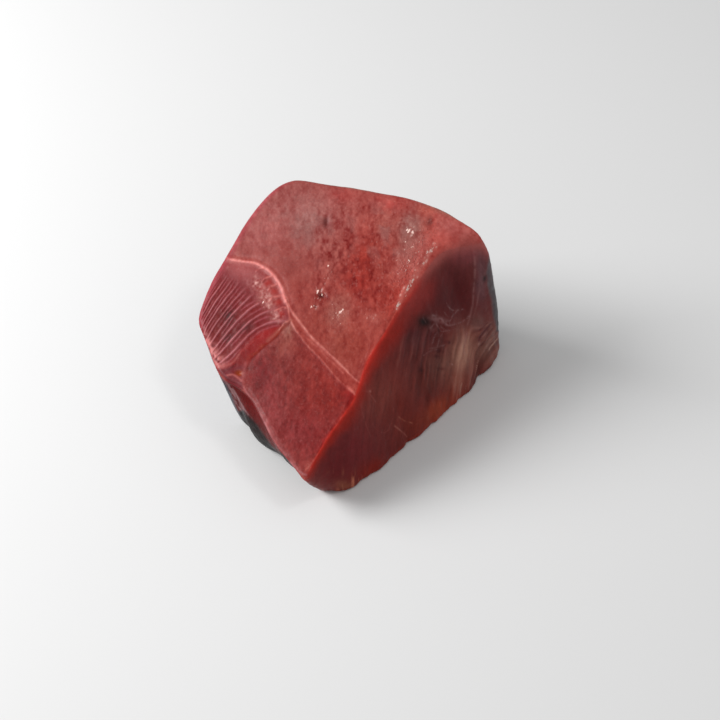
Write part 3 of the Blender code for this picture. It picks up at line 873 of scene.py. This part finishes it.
# the cut side
SIDE_SPOTS = [
    (446, 288, 30, 34, 20, (72, 35, 36), 1.0), (462, 296, 14, 18, 0, (74, 30, 31), 0.8),
    (424, 300, 8, 22, 35, (84, 33, 34), 0.7), (466, 246, 26, 9, 8, (132, 72, 72), 1.0), (468, 256, 18, 10, 0, (112, 58, 61), 0.7),
    (472, 233, 18, 6, 12, (178, 86, 79), 0.85), (436, 256, 6, 10, 35, (112, 62, 60), 0.7),
    (482, 275, 6, 32, -3, (88, 58, 61), 0.95), (385, 398, 26, 28, 30, (108, 52, 46), 0.8),
    (398, 408, 12, 20, 20, (92, 35, 31), 0.7), (352, 448, 26, 26, 0, (93, 35, 37), 0.9),
    (335, 468, 20, 18, 0, (84, 29, 31), 0.9), (416, 340, 18, 14, 0, (84, 48, 48), 0.8),
    (420, 362, 18, 18, 0, (84, 42, 40), 0.8), (428, 382, 18, 14, -30, (98, 48, 42), 0.7),
    (440, 366, 12, 14, 0, (108, 70, 62), 0.7), (462, 352, 13, 20, 15, (140, 98, 84), 0.95),
    (457, 380, 13, 12, -40, (116, 66, 56), 0.8), (484, 350, 12, 16, 0, (104, 68, 60), 0.9),
    (492, 338, 7, 14, 0, (112, 78, 70), 0.7), (478, 322, 8, 8, 0, (96, 66, 62), 0.7),
    (438, 410, 24, 10, -40, (126, 54, 38), 0.9), (412, 424, 16, 10, -40, (98, 40, 33), 0.7),
    (372, 470, 16, 8, -35, (116, 36, 28), 0.7), (345, 485, 9, 4, 0, (118, 66, 52), 0.8),
    # painted shadow: the near black spot at (423, 320.5) in the hollow
    (423, 320.5, 10.5, 6.6, 12, (34, 18, 23), 1.0), (411, 331, 9, 7, -35, (62, 33, 35), 0.7),
    (437.5, 350, 3, 2, 0, (70, 30, 32), 0.8), (436, 356, 3, 1.6, 0, (72, 32, 33), 0.7),
    (446, 341, 3.5, 1.8, 0, (74, 34, 35), 0.7), (441, 369, 3.5, 1.6, 0, (80, 36, 34), 0.7),
    (421, 370, 2.5, 3, 0, (62, 32, 33), 0.6), (431, 334, 4, 5, 0, (66, 30, 32), 0.6)]
side = spots(np.tile(g_(92, 40, 38), (len(Ps), 1)), Pv, SIDE_SPOTS, g_)
amount = (0.12 + 0.30 * streaked + 0.22 * blob(Pv, 378, 402, 16, 26) * (1 - streaked)) * cut_side
side = side * (1 + (amount * fibre * 1.5)[:, None] * np.array([0.9, 1.15, 1.15]))
light_streaks = streaked * step(fibre, 0.15, 0.8)
side = lay(side, g_(140, 104, 92), 0.28 * light_streaks)
side = lay(side, g_(176, 140, 126), 0.5 * streaked * step(Ps[:, 0], 450, 470) * step(noise(fibre_p, 1.6, 86), 0.45, 0.9))
lumps = np.clip(blob(Ps, 438, 319, 7, 3, 10) + blob(Ps, 447, 323, 6, 2.6, -10) + 0.7 * blob(Ps, 433, 327, 3, 5, 20), 0, 1)
side = lay(side, g_(118, 82, 82), 0.7 * lumps * step(noise(Xs, 2.4, 217), -0.6, 0.5) * cut_side)
# curled fibres, painted pale where glints of light sit on them
side = lay(side, g_(128, 95, 95), 0.72 * curls_and_glints * cut_side * step(noise(Xs, 2.0, 218), -0.75, 0.35))
# painted shade: dark spots in the holes between the curled fibres
shaded_holes = blob(Ps, 440, 330, 7, 5) + blob(Ps, 438, 352, 6, 5) + blob(Ps, 447, 342, 5, 4)
side = lay(side, g_(60, 24, 28), 0.85 * np.clip(shaded_holes, 0, 1) * step(noise(Xs, 2.3, 219), 0.0, 0.5) * cut_side)
for line, half, rgb, strength in (
        ([(475, 252), (475, 275), (474, 295), (471.5, 312), (467.5, 326), (465, 341), (464, 354)], 0.9, (140, 100, 98), 0.6),
        ([(486, 270), (482.5, 284), (478.5, 299), (474.5, 316), (470, 330)], 0.8, (132, 92, 90), 0.45),
        ([(480, 250), (481, 268), (480, 288), (477, 306)], 0.7, (122, 80, 82), 0.35),
        ([(479, 345), (484, 336), (492, 326)], 0.7, (164, 124, 116), 0.6),
        ([(484, 352), (489, 342), (495, 333)], 0.8, (150, 112, 102), 0.5),
        ([(476, 360), (480, 348)], 0.8, (150, 112, 102), 0.4),
        ([(360, 403), (363, 414), (367, 426), (371, 437)], 0.6, (138, 78, 74), 0.45),
        ([(392.5, 424), (398, 429), (406.5, 436.5)], 0.6, (168, 108, 96), 0.6),
        ([(399, 417), (404, 420.5), (412, 423)], 0.6, (180, 112, 92), 0.6),
        ([(373, 424), (376, 429), (381, 432.5), (387, 431.5), (391, 426), (393.5, 415), (394, 407)], 0.6, (132, 70, 66), 0.4),
        ([(362, 391), (368, 392), (373, 397), (376, 402)], 0.6, (140, 84, 80), 0.5),
        ([(342, 482), (343, 490)], 0.5, (176, 120, 92), 0.5),
        
        ([(441, 419), (444, 416), (446, 414.5)], 1.0, (184, 120, 88), 0.6),
        ([(451.5, 364), (452.5, 364.5)], 0.5, (190, 150, 140), 0.6),
        ([(371, 391.5), (371.5, 392)], 0.8, (190, 140, 130), 0.6)):
    side = lay(side, g_(*rgb), 0.55 * strength * cut_side * strand(Ps + 0.6 * warp_s, curve(line, 8), half, half * 0.7, 211)[0]
               * step(noise(Xs, 3.0, 220), -0.9, 0.2))
stringy = blob(Ps, 345, 482, 14, 8) * step(noise(np.column_stack([Ps[:, 0], Ps[:, 1] * 0.12]), 1.7, 221), 0.05, 0.6)
side = lay(side, g_(178, 108, 84), 0.85 * stringy * cut_side)
for line, half, strength in SLITS:
    side = lay(side, g_(72, 30, 34), strength * cut_side * strand(Ps, curve(line, 6), half, half * 0.7, 209)[0])

# painted glow: light that comes through the thin flesh at the ridge is painted as a clear red
away = np.maximum(-ridge_in[walls], 0)
y_ = Ps[:, 1]
red_w = (7.5 + 3.0 * step(-y_, -455, -420) + 6.5 * step(-y_, -385, -325)) * (1 - 0.5 * step(-y_, -285, -262))
red_w = red_w * (1 + 0.22 * noise(Ps, 11, 87))
red_amount = (1 - step(-y_, -296, -258)) * cut_side * (ridge_in[walls] < 40)
upper = step(-y_, -335, -292)
glow = red_amount * (np.exp(-(away / red_w) ** 3) * (1 - upper) + np.exp(-(away / (0.95 * red_w)) ** 2) * upper)
side = lay(side, g_(130, 38, 32), 0.92 * glow * (1 - upper))
side = lay(side, g_(134, 51, 48), 0.90 * glow * upper)
bright = np.exp(-(away / (2.8 + 2.2 * step(-y_, -400, -370) * step(y_, 345, 360))) ** 2)
bright = bright * (0.8 + 0.2 * noise(Ps, 6, 88)) * (1 - 0.4 * step(y_, 408, 428))
side = lay(side, g_(190, 54, 46), red_amount * bright * (1 - 0.5 * upper))
side = lay(side, g_(146, 76, 72), 0.9 * cut_side * np.exp(-(away / 7.5) ** 2) * step(-y_, -292, -264) * (ridge_in[walls] < 40))
# painted glow: the flesh thins out to a translucent edge below, and the light through it is painted as an orange red
side = lay(side, g_(132, 48, 34), 0.55 * cut_side * step(ws, 0.93, 0.99) * (0.6 + 0.4 * noise(Xs, 9, 85)) * (1 - step(Ps[:, 0], 455, 470)))

# skin: blue black above, silver below, with a thin layer of dark muscle and fat
# under the cut edge
depth_mm = ws * np.concatenate([np.tile(reach, R), np.zeros(len(extra))])
skin = np.tile(k_(47, 48, 54), (len(Ps), 1))
silver = step(ws + 0.13 * cloud(Xs, 45, 3, 120) + 0.05 * cloud(Xs, 9, 2, 121), 0.25, 1.0)
skin = lay(skin, k_(114, 114, 116), silver)
skin = lay(skin, k_(76, 79, 86), 0.4 * (1 - np.abs(2 * silver - 1)))
skin = skin * (1 + 0.10 * cloud(Xs, 3.2, 3, 124, 0.8))[:, None]
thin = 1 - step(depth_mm + 0.7 * noise(Xs, 7, 125), 1.5, 4.2)
skin = lay(skin, k_(128, 72, 72), 0.9 * thin)
skin = lay(skin, k_(92, 44, 48), 0.7 * np.exp(-((depth_mm - 5.0 - noise(Xs, 8, 126)) / 2.0) ** 2))
# the strip below the left of the face: dark muscle, silver flecks, black skin
left_strip = step(cs, 7.0, 7.25) * (1 - step(cs, 8.80, 8.95))
strip = np.tile(l_(104, 30, 32), (len(Ps), 1))
strip = strip * (1 + 0.25 * noise(np.column_stack([Ps[:, 0] - 0.55 * Ps[:, 1], 0.2 * Ps[:, 1]]), 2.2, 127))[:, None]
for line, half, strength in (([(226, 382), (231, 391), (236, 402), (241, 411)], 1.5, 0.7),
                             ([(231, 387), (236, 396), (242, 406), (248, 415)], 0.8, 0.7),
                             ([(243, 409), (250, 418), (257, 427)], 0.8, 0.5)):
    strip = lay(strip, l_(156, 122, 124), strength * strand(Ps + 0.6 * warp_s, curve(line, 6), half, half, 128)[0]
                * step(noise(Xs, 3.0, 129), -0.5, 0.2))
BLACK_SKIN = [(238, 412), (243, 411), (249, 417), (256, 425), (262, 434), (268, 443), (275, 450),
              (288, 459), (286, 470), (262, 462), (236, 430)]
strip = lay(strip, l_(32, 22, 30), 0.94 * step(inside(Ps + 0.8 * warp_s, BLACK_SKIN), -2.6, 0.8))
strip = lay(strip, l_(46, 40, 46), 0.8 * step(ws, 0.55, 0.8))
strip = lay(strip, l_(140, 80, 82), 0.5 * (1 - step(depth_mm, 0.8, 2.0)))
skin = lay(skin, strip, left_strip)
# the skin reaches round the right corner as far as the part that turns away in the photo
toward = np.array([0.0, -0.7071, 0.7071])
turned = step(-(N0[walls] @ toward), -0.02, 0.12) * step(cs, 2.5, 2.7) * (1 - step(cs, 3.4, 3.6)) * cut_side
side = lay(side, skin, (1 - cut_side + turned))
SLATE = [(489.5, 250), (487.5, 262), (486.5, 275), (488.5, 288), (491, 300), (493.5, 314), (497, 332),
         (514, 334), (514, 248)]
slate = step(inside(Ps + 1.0 * warp_s, SLATE), -1.2, 2.2) * step(cs, 2.2, 2.4) * cut_side
side = lay(side, k_(84, 78, 80), 0.85 * slate)
side = lay(side, k_(112, 112, 116), 0.5 * slate * step(cloud(Xs, 6.0, 2, 222), 0.1, 0.9))
side = lay(side, k_(54, 52, 56), 0.75 * slate * step(Ps[:, 0] + 2 * warp_s[:, 0], 490.5, 495.5))
side = lay(side, k_(34, 32, 36), 0.85 * cut_side * blob(Ps, 485, 279, 1.8, 3.4, 10))
side = side * (1 + 0.08 * cloud(Xs, 3.0, 3, 130, 0.7))[:, None]
# painted shade: where the rounded ridge faces the key light, the colour is made darker by the light that falls there
key_light_shading = np.clip(light_on(N0[walls]) / 0.62, 1.0, 1.7)
key_light_shading = 1 + (key_light_shading - 1) * cut_side * (1 - step(ws, 0.04, 0.12)) * step(Ps[:, 0], 290, 310)
side = side / key_light_shading[:, None]
side = np.clip(side, 0.002, 0.95)

# one colour for every point: the face's on the face, the walls' on the walls
colour = np.tile(g_(96, 40, 38), (len(V), 1))
colour[walls] = side
on_front = np.clip(step(AROUND, 0.02, 0.22) * (1 - step(AROUND, 3.12, 3.4)), 0, 1)
on_front[ring_count:] = 1.0
turn_over = step(SIDE, 0.62, 0.98) * (1 - on_front) + beyond * on_front
mix_in = np.clip(turn_over[on_face], 0, 1)[:, None]
colour[on_face] = tone * (1 - mix_in) + colour[on_face] * mix_in

glint_all = np.zeros(len(V))
glint_all[on_face] = glint * (1 - 0.5 * np.clip(turn_over[on_face], 0, 1))
wet_all = np.zeros(len(V))
wet_all[on_face] = wet * (1 - 0.6 * np.clip(turn_over[on_face], 0, 1))
skin_all = np.zeros(len(V))
skin_all[walls] = np.clip((1 - cut_side + turned) * step(depth_mm, 2.5, 5.0) * (1 - 0.6 * left_strip) + 0.7 * slate, 0, 1)
cut_all = np.zeros(len(V))
cut_all[walls] = cut_side


# ------------------------------------------------------------------- materials
class Nodes:
    def __init__(self, name):
        self.material = bpy.data.materials.new(name)
        self.material.use_nodes = True
        self.tree = self.material.node_tree
        self.shader = self.tree.nodes["Principled BSDF"]

    def add(self, kind, values=None, **props):
        node = self.tree.nodes.new(kind)
        for key, value in props.items():
            setattr(node, key, value)
        for key, value in (values or {}).items():
            self.put(node.inputs[key], value)
        return node

    def put(self, socket, value):
        if isinstance(value, bpy.types.NodeSocket):
            self.tree.links.new(value, socket)
        else:
            socket.default_value = value

    def attribute(self, name):
        return self.add("ShaderNodeAttribute", attribute_name=name)

    def math(self, operation, a, b=0.0, clamp=False):
        node = self.add("ShaderNodeMath", operation=operation, use_clamp=clamp)
        self.put(node.inputs[0], a)
        self.put(node.inputs[1], b)
        return node.outputs[0]

    def noise(self, vector, scale, detail=2.0, roughness=0.5, distortion=0.0):
        node = self.add("ShaderNodeTexNoise", {"Vector": vector, "Scale": scale, "Detail": detail,
                                               "Roughness": roughness, "Distortion": distortion})
        return node.outputs["Fac"]

    def between(self, value, a, b, low=0.0, high=1.0):
        node = self.add("ShaderNodeMapRange", {"Value": value, "From Min": a, "From Max": b,
                                               "To Min": low, "To Max": high},
                        interpolation_type="SMOOTHSTEP")
        return node.outputs["Result"]

    def mix(self, factor, a, b, blend="MIX"):
        node = self.add("ShaderNodeMix", data_type="RGBA", blend_type=blend)
        self.put(node.inputs[0], factor)
        self.put(node.inputs[6], a)
        self.put(node.inputs[7], b)
        return node.outputs[2]


def flesh_material(name, side_piece, specular=0.16):
    m = Nodes(name)
    place = m.add("ShaderNodeTexCoord").outputs["Object"]
    tint = m.attribute("tint").outputs["Color"]
    wetness = m.attribute("wet").outputs["Fac"]
    skin_mask = m.attribute("skin").outputs["Fac"]
    fine = m.noise(place, 900, 3, 0.6)
    dots = m.noise(place, 420, 2, 0.5)
    factor = m.math("ADD", m.math("MULTIPLY", m.math("SUBTRACT", fine, 0.5), 0.42),
                    m.math("MULTIPLY", m.math("SUBTRACT", dots, 0.5), 0.30))
    darker = m.mix(m.between(factor, 0.0, -0.16, 0.0, 0.42), tint, (0.55, 0.42, 0.42, 1), "MULTIPLY")
    lighter = m.mix(m.between(factor, 0.03, 0.18, 0.0, 0.03 if side_piece else 0.08), darker,
                    (0.75, 0.42, 0.38, 1), "MIX")
    scales = m.add("ShaderNodeTexVoronoi", {"Vector": place, "Scale": 330.0, "Randomness": 0.85}).outputs["Distance"]
    scaly = m.math("MULTIPLY", m.between(scales, 0.15, 0.62), skin_mask)
    skin_tint = m.mix(m.between(fine, 0.35, 0.7), m.mix(1.0, tint, (0.8, 0.8, 0.82, 1), "MULTIPLY"), tint)
    final = m.mix(skin_mask, lighter, skin_tint)
    final = m.mix(m.math("MULTIPLY", scaly, 0.45), final, (0.55, 0.55, 0.57, 1), "MULTIPLY")
    # painted highlights: the glint attribute paints pale sparkles into the base colour
    glints = m.attribute("glint").outputs["Fac"]
    along = m.add("ShaderNodeMapping", {"Vector": place, "Rotation": (0, 0, math.radians(-28)),
                                        "Scale": (1.0, 2.2, 1.6)}, vector_type="TEXTURE")
    spark = m.math("ADD", m.noise(along.outputs[0], 480, 2, 0.6),
                   m.math("MULTIPLY", m.math("SUBTRACT", glints, 1.0), 0.22))
    spark = m.math("MULTIPLY", m.between(spark, 0.49, 0.57), m.between(glints, 0.03, 0.2))
    final = m.mix(m.math("MULTIPLY", spark, 0.9), final, (0.90, 0.62, 0.55, 1))
    m.put(m.shader.inputs["Base Color"], final)

    rough = m.between(m.noise(place, 160, 3, 0.6), 0.3, 0.7, 0.38, 0.52)
    rough = m.math("SUBTRACT", rough, m.math("MULTIPLY", wetness, 0.24))
    rough = m.math("SUBTRACT", rough, m.math("MULTIPLY", skin_mask, 0.10))
    m.put(m.shader.inputs["Roughness"], rough)

    grain = m.noise(place, 620, 3, 0.65)
    drops = m.between(m.noise(place, 760, 1, 0.4), 0.52, 0.72)
    height = m.math("ADD", m.math("MULTIPLY", grain, 0.35),
                    m.math("MULTIPLY", m.math("MULTIPLY", drops, wetness), 1.8))
    height = m.math("SUBTRACT", height, m.math("MULTIPLY", scaly, 0.8))
    if side_piece:
        flow = m.attribute("flow").outputs["Vector"]
        strings = m.noise(flow, 1.0, 3, 0.6)
        height = m.math("ADD", height, m.math("MULTIPLY", strings, 0.7))
    bump = m.add("ShaderNodeBump", {"Height": height, "Strength": 0.5, "Distance": 0.0003})
    m.put(m.shader.inputs["Normal"], bump.outputs["Normal"])

    s = m.shader.inputs
    s["Specular IOR Level"].default_value = specular
    s["Subsurface Weight"].default_value = 0.10
    s["Subsurface Radius"].default_value = (1.0, 0.28, 0.2)
    s["Subsurface Scale"].default_value = 0.0025
    return m.material


# ---------------------------------------------------------------------- pieces
def piece(name, faces, material):
    """One mesh from some of the faces, with the shared normals and attributes."""
    used = np.unique(np.concatenate([np.asarray(f).ravel() for f in faces]))
    new_id = np.full(len(V1), -1)
    new_id[used] = np.arange(len(used))
    polys = [tuple(int(x) for x in q) for f in faces for q in new_id[np.asarray(f)]]
    mesh = bpy.data.meshes.new(name)
    mesh.from_pydata((V1[used] * MM).tolist(), [], polys)
    mesh.polygons.foreach_set("use_smooth", [True] * len(mesh.polygons))
    tint = mesh.attributes.new("tint", "FLOAT_COLOR", "POINT")
    tint.data.foreach_set("color", np.column_stack([colour[used], np.ones(len(used))]).ravel())
    for key, values in (("wet", wet_all), ("skin", skin_all), ("glint", glint_all)):
        a = mesh.attributes.new(key, "FLOAT", "POINT")
        a.data.foreach_set("value", values[used])
    flow = np.zeros((len(V), 3))
    flow[walls] = np.column_stack([across * cut_side + Xs[:, 0] * 0.3 * (1 - cut_side), Ps[:, 1] * 0.08 * cut_side + Xs[:, 1] * 0.3 * (1 - cut_side),
                                   Xs[:, 2] * 0.3 * (1 - cut_side)])
    a = mesh.attributes.new("flow", "FLOAT_VECTOR", "POINT")
    a.data.foreach_set("vector", flow[used].ravel())
    mesh.normals_split_custom_set_from_vertices(N1[used].tolist())
    mesh.materials.append(material)
    obj = bpy.data.objects.new(name, mesh)
    bpy.context.scene.collection.objects.link(obj)
    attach(obj, "root")
    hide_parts("loin")
    return obj


by_row = side_quads.reshape(R - 1, M, 4)
around = np.arange(M)
front = (around < CELLS + 60) | (around >= M - 30)
back = (around >= CELLS + 60) & (around < 2.7 * CELLS)
cut_flesh, side_flesh = flesh_material("cut_flesh", False), flesh_material("side_flesh", True)
skin_flesh = flesh_material("skin_flesh", True, 0.05)
piece("cut_face", [face_quads], cut_flesh)
piece("rim", [by_row[:EDGE_ROWS].reshape(-1, 4)], side_flesh)
piece("cut_side", [by_row[EDGE_ROWS:, front].reshape(-1, 4)], side_flesh)
piece("skin_back", [by_row[EDGE_ROWS:, back].reshape(-1, 4)], skin_flesh)
piece("skin_left", [by_row[EDGE_ROWS:, ~front & ~back].reshape(-1, 4)], skin_flesh)
piece("underside", [np.array(sole_quads), np.array(sole_tris)], cut_flesh)


# ------------------------------------------------------------- floor and light
def floor():
    mesh = bpy.data.meshes.new("floor")
    a = 4.0
    mesh.from_pydata([(-a, -a, 0), (a, -a, 0), (a, a, 0), (-a, a, 0)], [], [(0, 1, 2, 3)])
    m = Nodes("floor")
    m.shader.inputs["Base Color"].default_value = (0.74, 0.74, 0.74, 1)
    m.shader.inputs["Roughness"].default_value = 0.9
    m.shader.inputs["Specular IOR Level"].default_value = 0.1
    mesh.materials.append(m.material)
    obj = bpy.data.objects.new("floor", mesh)
    obj.location = (0, 0, -0.0002)
    bpy.context.scene.collection.objects.link(obj)


def softbox(name, direction, distance, size, power):
    light = bpy.data.lights.new(name, "AREA")
    light.shape, light.size, light.energy = "SQUARE", size, power
    obj = bpy.data.objects.new(name, light)
    d = Vector(direction).normalized()
    obj.location = d * distance
    obj.rotation_mode = "QUATERNION"
    obj.rotation_quaternion = d.to_track_quat("Z", "Y")
    bpy.context.scene.collection.objects.link(obj)


floor()
softbox("key", (-0.85, 0.10, 0.52), 1.8, 0.9, 41.0)
softbox("spark", (0.45, -0.05, 0.88), 1.6, 0.35, 2.2)
world = bpy.data.worlds.new("world")
world.use_nodes = True
world.node_tree.nodes["Background"].inputs["Color"].default_value = (1, 1, 1, 1)
world.node_tree.nodes["Background"].inputs["Strength"].default_value = 0.42
bpy.context.scene.world = world
bpy.context.scene.view_settings.view_transform = "Standard"
